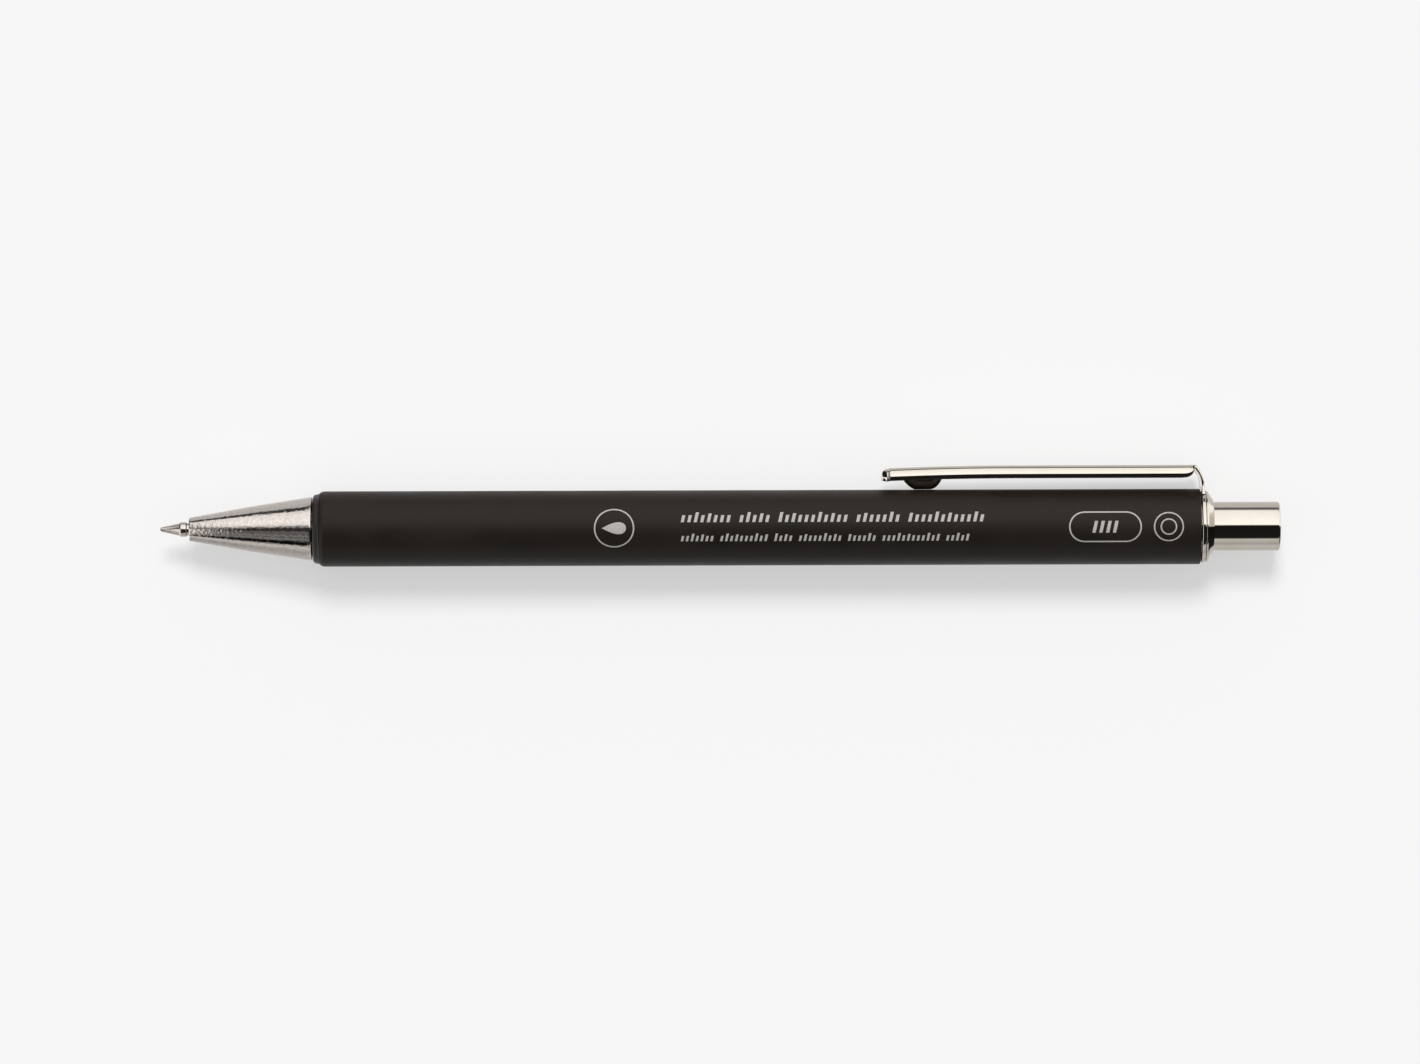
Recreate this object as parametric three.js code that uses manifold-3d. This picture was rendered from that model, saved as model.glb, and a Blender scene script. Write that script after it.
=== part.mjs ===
// A retractable gel pen: a rubber-sleeved barrel with a screw-on metal nose cone, a pressed channel clip,
// a click mechanism with a turning cam, and a gel refill on a return spring. It lies on its side with the
// refill out: +X runs from the writing ball to the push button, the clip is on the +Y side, and z = 0 is
// the surface that the barrel rests on. Units are millimetres.
import * as THREE from "three";
import { mergeVertices } from "three/addons/utils/BufferGeometryUtils.js";
import Module from "manifold-3d";

const wasm = await Module();
wasm.setup();

// ---------------------------------------------------------------------------------------------------
// Driving dimensions. A station is a distance behind the front of the writing ball, along the pen.

const penLength = 142;
const stroke = 4.5; // how far the refill draws back
const overTravel = 1; // how far the button goes past the latch
const runningGap = 0.1; // radial gap where one piece slides in another
const seatGap = 0.05; // gap where one piece is pressed or screwed against another

const sleeveRadius = 4.8;
const sleeveBore = 4.42;
const tubeRadius = 4.37;
const tubeBore = 3.3;
const refillRadius = 2.75;
const refillBore = 2.35;
const buttonRadius = 3.13;
const clipTop = 7.8; // from the pen's axis to the clip's outer face at its bend
const clipFreeTop = 7.45; // the same at its free end
const clipSheet = 0.45;
const clipWidth = 5.2;
const tabWidth = 4.4; // where the clip joins its ring

const noseFront = 3.7;
const noseRear = 19.3;
const spigotEnd = 26.5;
const springSeat = 10.5;
const holderFlange = 22;
const sleeveFront = 20.35;
const sleeveRear = 131.8;
const refillEnd = 98.4;
const guideFront = 100.1;
const guideEnd = 126.2;
const ribFront = 112; // where the guide's ribs begin, which is where the cam latches
const clipRingFront = 131.9;
const clipRingRear = 132.4;
const capRear = 133.45;

const outerSides = 40; // sides of the pieces that show
const innerSides = 24; // sides of the pieces inside
const axisHeight = sleeveRadius * Math.cos(Math.PI / outerSides);

const latchCount = 3; // cam fins, guide ribs and plunger keys
const latchPitch = (2 * Math.PI) / latchCount;
const degrees = Math.PI / 180;

// ---------------------------------------------------------------------------------------------------
// Materials

const finish = (color, roughness, metalness) =>
  new THREE.MeshStandardMaterial({ color, roughness, metalness });

const rubber = finish(0x24201e, 0.75, 0);
const blackPlastic = finish(0x2c2927, 0.5, 0);
const chrome = finish(0xd8d4ce, 0.12, 1);
const satinChrome = finish(0xcfcac3, 0.25, 1);
const nickelSilver = finish(0xbfb8aa, 0.25, 1);
const springSteel = finish(0x9a9a98, 0.3, 1);
const carbide = finish(0x6f7072, 0.15, 1);
const acetal = finish(0xe6e4dc, 0.45, 0);
const clearTube = finish(0xdfe3e4, 0.2, 0);
const ink = finish(0x0b0b10, 0.3, 0);
const grease = finish(0xd9cfa6, 0.35, 0);

// ---------------------------------------------------------------------------------------------------
// Shape helpers

/** Solid of revolution about the pen's axis. Points are [station, radius], outside from front to rear. */
function turned(points, sides = innerSides) {
  const profile = points.map(([station, radius]) => new THREE.Vector2(radius, station));
  const first = profile[0];
  if (first.x > 0) profile.push(first.clone());
  // Half a side of turn puts a flat side, and not an edge, at the bottom.
  return new THREE.LatheGeometry(profile, sides, Math.PI / sides).rotateZ(-Math.PI / 2);
}

/** Points of an elliptical corner from angle to angle, as [station, radius]. */
function corner(station, radius, along, across, from, to, steps = 4) {
  return Array.from({ length: steps + 1 }, (_, i) => {
    const angle = from + ((to - from) * i) / steps;
    return [station + along * Math.cos(angle), radius + across * Math.sin(angle)];
  });
}

/** Closed surface through a list of loops that have the same number of points. */
function lofted(loops, ring = false) {
  const count = loops[0].length;
  const spans = ring ? loops.length : loops.length - 1;
  const index = [];
  for (let i = 0; i < spans; i++) {
    const near = i * count;
    const far = ((i + 1) % loops.length) * count;
    for (let j = 0; j < count; j++) {
      const next = (j + 1) % count;
      index.push(near + j, near + next, far + next, near + j, far + next, far + j);
    }
  }
  if (!ring) index.push(...loopFaces(loops[0], 0, true), ...loopFaces(loops.at(-1), spans * count, false));
  const geometry = new THREE.BufferGeometry().setFromPoints(loops.flat()).setIndex(index);
  return volumeOf(geometry) < 0 ? reversed(geometry) : geometry;
}

/** Triangles that close a flat loop, seen across its own plane. */
function loopFaces(loop, offset, backwards) {
  const across = loop[1].clone().sub(loop[0]).normalize();
  const normal = new THREE.Vector3();
  loop.forEach((p, i) => normal.add(new THREE.Vector3().crossVectors(p, loop[(i + 1) % loop.length])));
  const along = normal.normalize().cross(across);
  const flat = loop.map((p) => new THREE.Vector2(p.dot(across), p.dot(along)));
  const faces = THREE.ShapeUtils.triangulateShape(flat, []);
  return faces.flatMap(([a, b, c]) => (backwards ? [c, b, a] : [a, b, c])).map((v) => v + offset);
}

function volumeOf(geometry) {
  const position = geometry.getAttribute("position");
  const [a, b, c] = [new THREE.Vector3(), new THREE.Vector3(), new THREE.Vector3()];
  let six = 0;
  for (let i = 0; i < geometry.index.count; i += 3) {
    a.fromBufferAttribute(position, geometry.index.getX(i));
    b.fromBufferAttribute(position, geometry.index.getX(i + 1));
    c.fromBufferAttribute(position, geometry.index.getX(i + 2));
    six += a.dot(b.cross(c));
  }
  return six / 6;
}

function reversed(geometry) {
  return geometry.setIndex([...geometry.index.array].reverse());
}

/** Part of a tube about the pen's axis, whose two ends can follow the angle. */
function tubeSector({ inner, outer, from, to, front, rear, steps }) {
  const whole = to - from > 2 * Math.PI - 1e-6;
  const loops = Array.from({ length: whole ? steps : steps + 1 }, (_, i) => {
    const angle = from + ((to - from) * i) / steps;
    const point = (station, radius) =>
      new THREE.Vector3(station, radius * Math.cos(angle), radius * Math.sin(angle));
    const [head, tail] = [front(angle), rear(angle)];
    return [point(head, inner), point(head, outer), point(tail, outer), point(tail, inner)];
  });
  return lofted(loops, whole);
}

/** The same sector at each of the latch positions. */
function sectorsAround(options) {
  return Array.from({ length: latchCount }, (_, i) => {
    const turn = i * latchPitch;
    return tubeSector({
      ...options,
      from: options.from + turn,
      to: options.to + turn,
      front: (angle) => options.front(angle - turn),
      rear: (angle) => options.rear(angle - turn),
    });
  });
}

function solidOf(geometry) {
  const bare = geometry.clone().deleteAttribute("normal").deleteAttribute("uv");
  const merged = mergeVertices(bare, 1e-4);
  const mesh = new wasm.Mesh({
    numProp: 3,
    vertProperties: new Float32Array(merged.getAttribute("position").array),
    triVerts: new Uint32Array(merged.index.array),
  });
  return new wasm.Manifold(mesh);
}

function geometryOf(solid) {
  const { vertProperties, triVerts } = solid.getMesh();
  return new THREE.BufferGeometry()
    .setAttribute("position", new THREE.BufferAttribute(vertProperties, 3))
    .setIndex(new THREE.BufferAttribute(triVerts, 1));
}

const joined = (...pieces) => geometryOf(pieces.map(solidOf).reduce((a, b) => a.add(b)));
const cut = (body, tool) => geometryOf(solidOf(body).subtract(solidOf(tool)));

// ---------------------------------------------------------------------------------------------------
// Barrel

/** Soft sleeve that covers the whole barrel, chamfered in front and rounded behind. */
function gripSleeve() {
  const round = 0.35;
  return turned(
    [
      [sleeveFront, sleeveBore],
      [sleeveFront, sleeveRadius - 0.2],
      [sleeveFront + 0.2, sleeveRadius - 0.08],
      [sleeveFront + 0.6, sleeveRadius],
      ...corner(sleeveRear - round, sleeveRadius - round, round, round, Math.PI / 2, 0),
      [sleeveRear, sleeveBore],
    ],
    outerSides,
  );
}

/** Rigid tube under the sleeve, bored in steps for the collar, the refill, the guide and the cap. */
function barrelTube() {
  const collarEnd = 27.2;
  const frontBore = 3.85;
  const guideBore = 3.6;
  const capBore = 3.8;
  return turned([
    [sleeveFront, frontBore],
    [sleeveFront, tubeRadius],
    [sleeveRear, tubeRadius],
    [sleeveRear, capBore],
    [guideEnd + 0.05, capBore],
    [guideEnd + 0.05, guideBore],
    [guideFront - 0.05, guideBore],
    [guideFront - 0.05, tubeBore],
    [collarEnd, tubeBore],
    [collarEnd, frontBore],
  ]);
}

/** Threaded insert at the front of the tube, whose rounded lip shows between the cone and the sleeve. */
function frontCollar() {
  const front = noseRear + runningGap;
  const bore = 3.5;
  const insertRadius = 3.8;
  const lipRear = sleeveFront - seatGap;
  return turned(
    [
      [front, bore],
      [front, 3.95],
      [front + 0.15, 4.18],
      [front + 0.5, 4.4],
      [lipRear, 4.56],
      [lipRear, insertRadius],
      [27, insertRadius],
      [27, bore],
    ],
    outerSides,
  );
}

/** Turned metal cone with a threaded spigot behind it and the spring's seat inside it. */
function noseCone() {
  const tipBore = 1;
  const neckBore = 1.4;
  const springBore = 2.1;
  const mainBore = refillRadius + 0.15;
  const rimRadius = 4.1;
  const spigotRadius = 3.4;
  return turned(
    [
      [noseFront, tipBore],
      [noseFront, 1.4],
      [noseFront + 0.12, 1.49],
      [(noseFront + noseRear) / 2, 2.84],
      [noseRear - 0.2, rimRadius],
      [noseRear, rimRadius - 0.08],
      [noseRear, spigotRadius - 0.15],
      [noseRear + 0.8, spigotRadius - 0.15],
      [noseRear + 1, spigotRadius],
      [spigotEnd - 0.25, spigotRadius],
      [spigotEnd, spigotRadius - 0.2],
      [spigotEnd, mainBore],
      [17, mainBore],
      [13, springBore],
      [springSeat, springBore],
      [springSeat, neckBore],
      [5.8, neckBore],
      [5.4, tipBore],
    ],
    outerSides,
  );
}

/** Domed metal bush that screws into the rear of the barrel and guides the button. */
function endCap() {
  const spigotRadius = 3.75;
  const bore = buttonRadius + 0.07;
  const flangeFront = clipRingRear + seatGap;
  const domeLength = capRear - flangeFront;
  const mouth = bore + 0.15;
  const shoulder = 4.6;
  return turned(
    [
      [guideEnd + 0.1, bore],
      [guideEnd + 0.1, spigotRadius],
      [flangeFront, spigotRadius],
      [flangeFront, shoulder - 0.08],
      [flangeFront + 0.1, shoulder],
      [flangeFront + 0.25, shoulder - 0.08],
      [flangeFront + 0.62 * domeLength, 3.98],
      [capRear - 0.12, mouth + 0.12],
      [capRear, mouth],
      [capRear, bore],
    ],
    outerSides,
  );
}

// ---------------------------------------------------------------------------------------------------
// Clip: one pressed strip in the real pen, split here where it flexes

/** Washer that the end cap clamps, with the tab that the clip springs from. */
function clipRing() {
  const bore = 3.85;
  const rim = 4.66;
  const tabTop = 5.1;
  const washer = turned(
    [
      [clipRingFront, bore],
      [clipRingFront, rim - 0.05],
      [clipRingFront + 0.1, rim],
      [clipRingRear - 0.1, rim],
      [clipRingRear, rim - 0.05],
      [clipRingRear, bore],
    ],
    outerSides,
  );
  const tabHeight = tabTop - 4.1;
  const tab = new THREE.BoxGeometry(clipRingRear - clipRingFront, tabHeight, tabWidth);
  tab.translate((clipRingFront + clipRingRear) / 2, tabTop - tabHeight / 2, 0);
  return joined(washer, tab);
}

const clipEnd = 91.5;
const clipFlange = 1.47; // height of the channel's sides
const flangeFade = 127.6; // where the sides begin to fade out towards the bend
const bendFront = 130.98;
const bendRadius = 0.55;
const bendAngle = 67.5 * degrees;
const rootBottom = 5.33;

/** The clip's outer face, which curves nearer the sleeve towards its free end. */
function clipTopAt(station) {
  const straightFrom = 108;
  const bowed = Math.max(0, (straightFrom - station) / (straightFrom - clipEnd));
  return clipTop - (clipTop - clipFreeTop) * bowed ** 2;
}

/** Depth of the pressed dimple under the clip: a straight ramp in front, a flat and a round back. */
function dimpleDepth(station, across) {
  const lowest = sleeveRadius + 0.06;
  const deepest = clipTopAt(station) - clipSheet - lowest;
  const [rampFront, flatFront, flatRear, backRear] = [92.7, 95.9, 97.7, 99.8];
  const halfWidth = 1.7;
  const ramp = THREE.MathUtils.clamp((station - rampFront) / (flatFront - rampFront), 0, 1);
  const behind = THREE.MathUtils.clamp((station - flatRear) / (backRear - flatRear), 0, 1);
  const crosswise = 1 - (across / halfWidth) ** 2;
  return deepest * ramp * Math.sqrt(1 - behind ** 2) * Math.max(0, crosswise);
}

/** Loop round the clip's round-shouldered channel, as [across, out] from the outer face's middle line. */
function channelSection(width, height, depthAt) {
  const edge = Math.min(0.95, 0.66 * height);
  const middle = 0.3 * edge;
  const side = width / 2;
  const webColumns = [-1, -0.75, -0.5, -0.25, 0, 0.25, 0.5, 0.75, 1];
  const outerWeb = webColumns.map((k) => k * (side - edge));
  const innerWeb = webColumns.map((k) => k * (side - clipSheet - 0.08)).reverse();
  return [
    [-side, -height],
    [-side, -edge],
    [middle - side, -middle],
    ...outerWeb.map((z) => [z, -depthAt(z)]),
    [side - middle, -middle],
    [side, -edge],
    [side, -height],
    [side - clipSheet, -height],
    ...innerWeb.map((z) => [z, -clipSheet - depthAt(z)]),
    [clipSheet - side, -height],
  ];
}

/** Sprung arm: a channel that closes at its free end, fades out at the bend and ends above the ring. */
function clipArm() {
  const noDepth = () => 0;
  const sections = [];
  const add = (station, out, slope, width, height, depthAt = noDepth) => {
    const [ux, uy] = [-Math.sin(slope), Math.cos(slope)];
    const loop = channelSection(width, height, depthAt).map(
      ([z, n]) => new THREE.Vector3(station + ux * n, out + uy * n, z),
    );
    sections.push(loop);
  };

  const frontWidth = clipWidth - 0.9;
  const endRound = 0.9;
  for (const share of [1, 0.8, 0.5, 0.2]) {
    const drop = 1 - Math.sqrt(1 - (0.95 * share) ** 2);
    const top = clipFreeTop - 0.05 - 0.45 * drop;
    add(clipEnd + endRound * (1 - share), top, 0, frontWidth - 1.4 * drop, clipFlange - 0.8 * drop);
  }
  for (let station = clipEnd + 1.5; station < 100; station += 0.4) {
    add(station, clipTopAt(station), 0, frontWidth, clipFlange, (z) => dimpleDepth(station, z));
  }
  add(109, clipTopAt(109), 0, clipWidth - 0.5, clipFlange);
  for (const share of [0, 0.3, 0.55, 0.75, 0.9, 1]) {
    const station = THREE.MathUtils.lerp(flangeFade, bendFront, share);
    const height = THREE.MathUtils.lerp(clipFlange, clipSheet, share ** 2);
    add(station, clipTopAt(station), 0, clipWidth, height);
  }
  const bendSteps = 5;
  for (let i = 1; i <= bendSteps; i++) {
    const angle = (bendAngle * i) / bendSteps;
    const station = bendFront + bendRadius * Math.sin(angle);
    add(station, clipTop - bendRadius * (1 - Math.cos(angle)), -angle, clipWidth, clipSheet);
  }
  const fall = clipTop - bendRadius * (1 - Math.cos(bendAngle)) - rootBottom;
  const bendRear = bendFront + bendRadius * Math.sin(bendAngle);
  add(bendRear + fall / Math.tan(bendAngle), rootBottom, -bendAngle, tabWidth, clipSheet);
  return lofted(sections);
}

// ---------------------------------------------------------------------------------------------------
// Click mechanism

const guideBoreRadius = 2.6;
const ribInner = 2.1;
const finOuter = 2.45;
const finHalf = 8 * degrees;
const ribTo = -4 * degrees; // the latched fins rest on this edge of the ribs
const ribFrom = -46 * degrees;
const toothCount = 6;
const toothHeight = 0.6;

/** Saw tooth of the crowns: 0 at the start of each tooth, growing to its height. */
function sawTooth(angle) {
  const turn = (angle * toothCount) / (2 * Math.PI);
  return toothHeight * (turn - Math.floor(turn));
}

/** Fixed sleeve with three slant-ended ribs inside: the cam latches on them or slips between them. */
function camGuide() {
  const ribEnd = guideEnd - 1.6;
  const shell = turned([
    [guideFront, 3],
    [guideFront, 3.5],
    [guideEnd, 3.5],
    [guideEnd, 1.95],
    [ribEnd, 1.95],
    [ribEnd, guideBoreRadius],
    [104.5, guideBoreRadius],
    [104.5, 3],
  ]);
  const ribs = sectorsAround({
    inner: ribInner,
    outer: guideBoreRadius + 0.3,
    from: ribFrom,
    to: ribTo,
    front: (angle) => ribFront + (0.9 * (ribTo - angle)) / (ribTo - ribFrom),
    rear: () => ribEnd + 0.3,
    steps: 6,
  });
  return joined(shell, ...ribs);
}

/** Cam that pushes the refill: three fins, a toothed crown and a pilot pin. */
function rotor() {
  const bodyRadius = 1.7;
  const pinRadius = 0.8;
  const crownRoot = ribFront;
  const body = turned([
    [refillEnd + seatGap, 0],
    [refillEnd + seatGap, bodyRadius - 0.2],
    [refillEnd + seatGap + 0.2, bodyRadius],
    [crownRoot, bodyRadius],
    [crownRoot, pinRadius],
    [116.3, pinRadius],
    [116.5, pinRadius - 0.2],
    [116.5, 0],
  ]);
  const crown = tubeSector({
    inner: pinRadius - 0.1,
    outer: bodyRadius - 0.05,
    from: 0,
    to: 2 * Math.PI,
    front: () => crownRoot - 0.5,
    rear: (angle) => crownRoot + 0.02 + sawTooth(angle),
    steps: 4 * toothCount,
  });
  const finRear = ribFront - 0.5;
  const fins = sectorsAround({
    inner: bodyRadius - 0.3,
    outer: finOuter,
    from: -finHalf,
    to: finHalf,
    front: () => 106.5,
    rear: (angle) => finRear - (0.35 * (angle + finHalf)) / (2 * finHalf),
    steps: 3,
  });
  return joined(body, crown, ...fins);
}

/** Push rod: toothed in front, keyed in the guide's grooves, with a stem that carries the button. */
function plunger() {
  const bodyRadius = 1.75;
  const stemRadius = 1.8;
  const pinBore = 0.95;
  const crownRoot = ribFront + 1.5;
  const keyRear = guideEnd - 1.6 - stroke - runningGap;
  const body = turned([
    [crownRoot, pinBore],
    [crownRoot, bodyRadius],
    [keyRear, bodyRadius],
    [keyRear, stemRadius],
    [140.9, stemRadius],
    [141.2, stemRadius - 0.3],
    [141.2, 0],
    [118, 0],
    [118, pinBore],
  ]);
  const crown = tubeSector({
    inner: pinBore + 0.02,
    outer: bodyRadius - 0.03,
    from: 0,
    to: 2 * Math.PI,
    front: (angle) => crownRoot - 0.1 - sawTooth(angle),
    rear: () => crownRoot + 0.5,
    steps: 4 * toothCount,
  });
  const keys = sectorsAround({
    inner: bodyRadius - 0.3,
    outer: finOuter,
    from: 5 * degrees,
    to: 65 * degrees,
    front: () => ribFront + 2.2,
    rear: () => keyRear,
    steps: 6,
  });
  return joined(body, crown, ...keys);
}

/** Plated shell of the push button, with a boss inside that grips the plunger's stem. */
function button() {
  const front = guideEnd + overTravel + 0.4;
  const round = 0.5;
  const wall = 0.43;
  const stemBore = 1.85;
  const bossRadius = 2.3;
  const floor = penLength - 0.6;
  return turned(
    [
      [front, buttonRadius - wall],
      [front, buttonRadius - 0.1],
      [front + 0.1, buttonRadius],
      ...corner(penLength - round, buttonRadius - round, round, round, Math.PI / 2, 0),
      [penLength, 0],
      [floor, 0],
      [floor, stemBore],
      [136, stemBore],
      [136, bossRadius],
      [floor, bossRadius],
      [floor, buttonRadius - wall],
    ],
    outerSides,
  );
}

/** Wire coil between the cone's seat and the refill's flange, with a closed turn at each end. */
function returnSpring() {
  const wire = 0.16;
  const meanRadius = 1.8;
  const turns = 8;
  const endPitch = 2.3 * wire;
  const start = springSeat + wire + seatGap;
  const end = holderFlange - wire - seatGap;
  class Helix extends THREE.Curve {
    getPoint(t) {
      const turn = t * turns;
      const middle = (end - start - 2 * endPitch) / (turns - 2);
      const active = Math.min(Math.max(turn - 1, 0), turns - 2);
      const station = start + (turn - active) * endPitch + active * middle;
      const angle = 2 * Math.PI * turn;
      return new THREE.Vector3(station, meanRadius * Math.cos(angle), meanRadius * Math.sin(angle));
    }
    getPointAt(t) {
      return this.getPoint(t); // even steps of angle
    }
  }
  const section = new THREE.Shape();
  const sides = 6;
  for (let i = 0; i < sides; i++) {
    const angle = (2 * Math.PI * i) / sides;
    const [x, y] = [wire * Math.cos(angle), wire * Math.sin(angle)];
    if (i === 0) section.moveTo(x, y);
    else section.lineTo(x, y);
  }
  return new THREE.ExtrudeGeometry(section, { steps: turns * 10, extrudePath: new Helix() });
}

// ---------------------------------------------------------------------------------------------------
// Refill

const ballRadius = 0.25;
const holderFront = 7.2;
const inkFront = 27.7;
const inkEnd = 76;
const followerEnd = 82;
const inkRadius = refillBore - seatGap;

function writingBall() {
  return new THREE.SphereGeometry(ballRadius, 12, 8).translate(ballRadius, 0, 0);
}

/** Turned point: the ball's socket, a cone, a round bead, the shank and a spigot behind. */
function pointBody() {
  const socket = ballRadius + 0.02;
  const channel = 0.12;
  const lip = 0.13;
  const bead = 0.89;
  const shank = 0.8;
  const spigotEndStation = 10.4;
  const lipAngle = Math.acos((lip - ballRadius) / socket);
  const channelAngle = Math.asin(channel / socket);
  return turned([
    [lip, 0.29],
    [2.55, 0.72],
    ...corner(2.95, bead - 0.15, 0.36, 0.15, Math.PI, 0),
    [3.35, shank],
    [holderFront - seatGap, shank],
    [holderFront - seatGap, 0.7],
    [spigotEndStation, 0.7],
    [spigotEndStation, 0.4],
    [1.6, 0.4],
    [1.1, channel],
    ...corner(ballRadius, 0, socket, socket, channelAngle, lipAngle, 5),
  ]);
}

/** Moulded neck that joins the point to the ink tube; its flange carries the return spring. */
function tipHolder() {
  return turned([
    [holderFront, 0.75],
    [holderFront, 1.1],
    [holderFront + 0.3, 1.25],
    [16, 1.25],
    [16.5, 1.5],
    [holderFlange, 1.5],
    [holderFlange, refillRadius - 0.1],
    [holderFlange + 0.1, refillRadius],
    [holderFlange + 1.2, refillRadius],
    [holderFlange + 1.2, inkRadius],
    [27.5, inkRadius],
    [27.5, 1.6],
    [24, 0.5],
    [10.6, 0.5],
    [10.6, 0.75],
  ]);
}

function inkTube() {
  return turned([
    [holderFlange + 1.25, refillBore],
    [holderFlange + 1.25, refillRadius],
    [97, refillRadius],
    [97, refillBore],
  ]);
}

function inkColumn() {
  return turned([
    [inkFront, 0],
    [inkFront, inkRadius],
    [inkEnd, inkRadius],
    [inkEnd, 0],
  ]);
}

/** Grease plug behind the ink, open behind for its float. */
function inkFollower() {
  const floatBore = 0.9;
  return turned([
    [inkEnd + seatGap, 0],
    [inkEnd + seatGap, inkRadius],
    [followerEnd, inkRadius],
    [followerEnd - 0.3, floatBore],
    [inkEnd + 1.6, floatBore],
    [inkEnd + 1.6, 0],
  ]);
}

function followerFloat() {
  return turned([
    [inkEnd + 1.7, 0],
    [inkEnd + 1.7, 0.6],
    [inkEnd + 1.9, 0.8],
    [followerEnd + 0.4, 0.8],
    [followerEnd + 0.4, 0],
  ]);
}

/** Vented rear plug with a notched crown. */
function tubePlug() {
  const plug = turned([
    [93.5, 0.5],
    [93.5, inkRadius - 0.1],
    [93.7, inkRadius],
    [97.05, inkRadius],
    [97.05, refillRadius],
    [refillEnd - 0.15, refillRadius],
    [refillEnd, refillRadius - 0.15],
    [refillEnd, 0.5],
  ]);
  const notches = [0, 1, 2].map((i) => {
    const notch = new THREE.BoxGeometry(1.2, 0.7, 2 * refillRadius + 1);
    return notch.translate(refillEnd + 0.2, 0, 0).rotateX((i * Math.PI) / 3);
  });
  return cut(plug, joined(...notches));
}

// ---------------------------------------------------------------------------------------------------
// Assembly: every piece is built in place on the pen's axis, and the group lays the axis above z = 0

const pen = new THREE.Group();
pen.position.set(-penLength / 2, 0, axisHeight);

function place(name, geometry, material) {
  const mesh = new THREE.Mesh(geometry, material);
  mesh.name = name;
  pen.add(mesh);
}

place("grip_sleeve", gripSleeve(), rubber);
place("barrel_tube", barrelTube(), blackPlastic);
place("front_collar", frontCollar(), blackPlastic);
place("nose_cone", noseCone(), satinChrome);
place("end_cap", endCap(), chrome);
place("clip_ring", clipRing(), chrome);
place("clip_arm", clipArm(), chrome);
place("cam_guide", camGuide(), acetal);
place("rotor", rotor(), acetal);
place("plunger", plunger(), acetal);
place("button", button(), chrome);
place("return_spring", returnSpring(), springSteel);
place("writing_ball", writingBall(), carbide);
place("point_body", pointBody(), nickelSilver);
place("tip_holder", tipHolder(), acetal);
place("ink_tube", inkTube(), clearTube);
place("ink_column", inkColumn(), ink);
place("ink_follower", inkFollower(), grease);
place("follower_float", followerFloat(), acetal);
place("tube_plug", tubePlug(), acetal);

const root = new THREE.Group();
root.add(pen);
export default root;
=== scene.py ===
"""Looks of the retractable gel pen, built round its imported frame.

The pen lies along X with its writing ball at -X and its clip towards +Y. A station is a distance in
millimetres behind the front of the ball, and a radius is in millimetres from the pen's axis.
"""

from functools import partial
from math import acos, atan2, cos, pi, radians, sin, sqrt, tan

import bmesh
import bpy
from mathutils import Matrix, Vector


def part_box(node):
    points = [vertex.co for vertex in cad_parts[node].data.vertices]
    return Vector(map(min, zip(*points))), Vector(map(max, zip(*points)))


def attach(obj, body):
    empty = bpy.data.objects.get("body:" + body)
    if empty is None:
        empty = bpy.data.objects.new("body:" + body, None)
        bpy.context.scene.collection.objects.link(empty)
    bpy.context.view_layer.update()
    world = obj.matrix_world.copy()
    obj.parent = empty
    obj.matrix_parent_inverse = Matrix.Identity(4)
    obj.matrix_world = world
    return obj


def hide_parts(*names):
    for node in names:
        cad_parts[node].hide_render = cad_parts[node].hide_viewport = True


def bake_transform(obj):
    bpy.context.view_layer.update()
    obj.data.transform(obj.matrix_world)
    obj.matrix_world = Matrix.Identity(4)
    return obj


MM = 0.001

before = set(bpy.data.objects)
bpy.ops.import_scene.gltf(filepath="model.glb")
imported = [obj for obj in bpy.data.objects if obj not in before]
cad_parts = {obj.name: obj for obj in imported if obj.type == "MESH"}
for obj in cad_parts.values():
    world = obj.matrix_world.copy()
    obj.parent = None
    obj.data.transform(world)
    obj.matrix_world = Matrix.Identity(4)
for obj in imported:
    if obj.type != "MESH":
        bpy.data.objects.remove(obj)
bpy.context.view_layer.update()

# ---------------------------------------------------------------------------------------------------
# Places taken from the frame

ball_low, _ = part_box("writing_ball")
sleeve_low, sleeve_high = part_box("grip_sleeve")
cone_low, cone_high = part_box("nose_cone")
collar_low, collar_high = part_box("front_collar")
ring_low, ring_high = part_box("clip_ring")
cap_low, cap_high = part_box("end_cap")
button_low, button_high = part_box("button")
clip_low, clip_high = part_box("clip_arm")
spring_low, spring_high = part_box("return_spring")

FRONT = ball_low.x
AXIS_Z = (sleeve_low.z + sleeve_high.z) / 2


def station_of(x):
    return (x - FRONT) / MM


def radius_of(y):
    return y / MM


def place(station, y, z):
    """A point from its station and its two offsets from the axis, in the frame's metres."""
    return Vector((FRONT + station * MM, y * MM, AXIS_Z + z * MM))


SLEEVE_FRONT = station_of(sleeve_low.x)
SLEEVE_REAR = station_of(sleeve_high.x)
SLEEVE_SKIN = (sleeve_high.z - sleeve_low.z) / 2 / MM
SLEEVE_RADIUS = SLEEVE_SKIN - 0.012  # leaves room for the print inside the frame's box
NOSE_FRONT = station_of(cone_low.x)
SPIGOT_END = station_of(cone_high.x)
LIP_FRONT = station_of(collar_low.x)
COLLAR_END = station_of(collar_high.x)
RING_FRONT = station_of(ring_low.x)
RING_REAR = station_of(ring_high.x)
CAP_FRONT = station_of(cap_low.x)
CAP_REAR = station_of(cap_high.x)
BUTTON_FRONT = station_of(button_low.x)
PEN_LENGTH = station_of(button_high.x)
CLIP_END = station_of(clip_low.x)
CLIP_TOP = radius_of(clip_high.y)
CLIP_WIDTH = (clip_high.z - clip_low.z) / MM
NOSE_REAR = LIP_FRONT - 0.1  # the frame's gap between cone and collar

# ---------------------------------------------------------------------------------------------------
# Mesh helpers


def add_object(name, mesh):
    piece = bpy.data.objects.new(name, mesh)
    bpy.context.scene.collection.objects.link(piece)
    return piece


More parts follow.
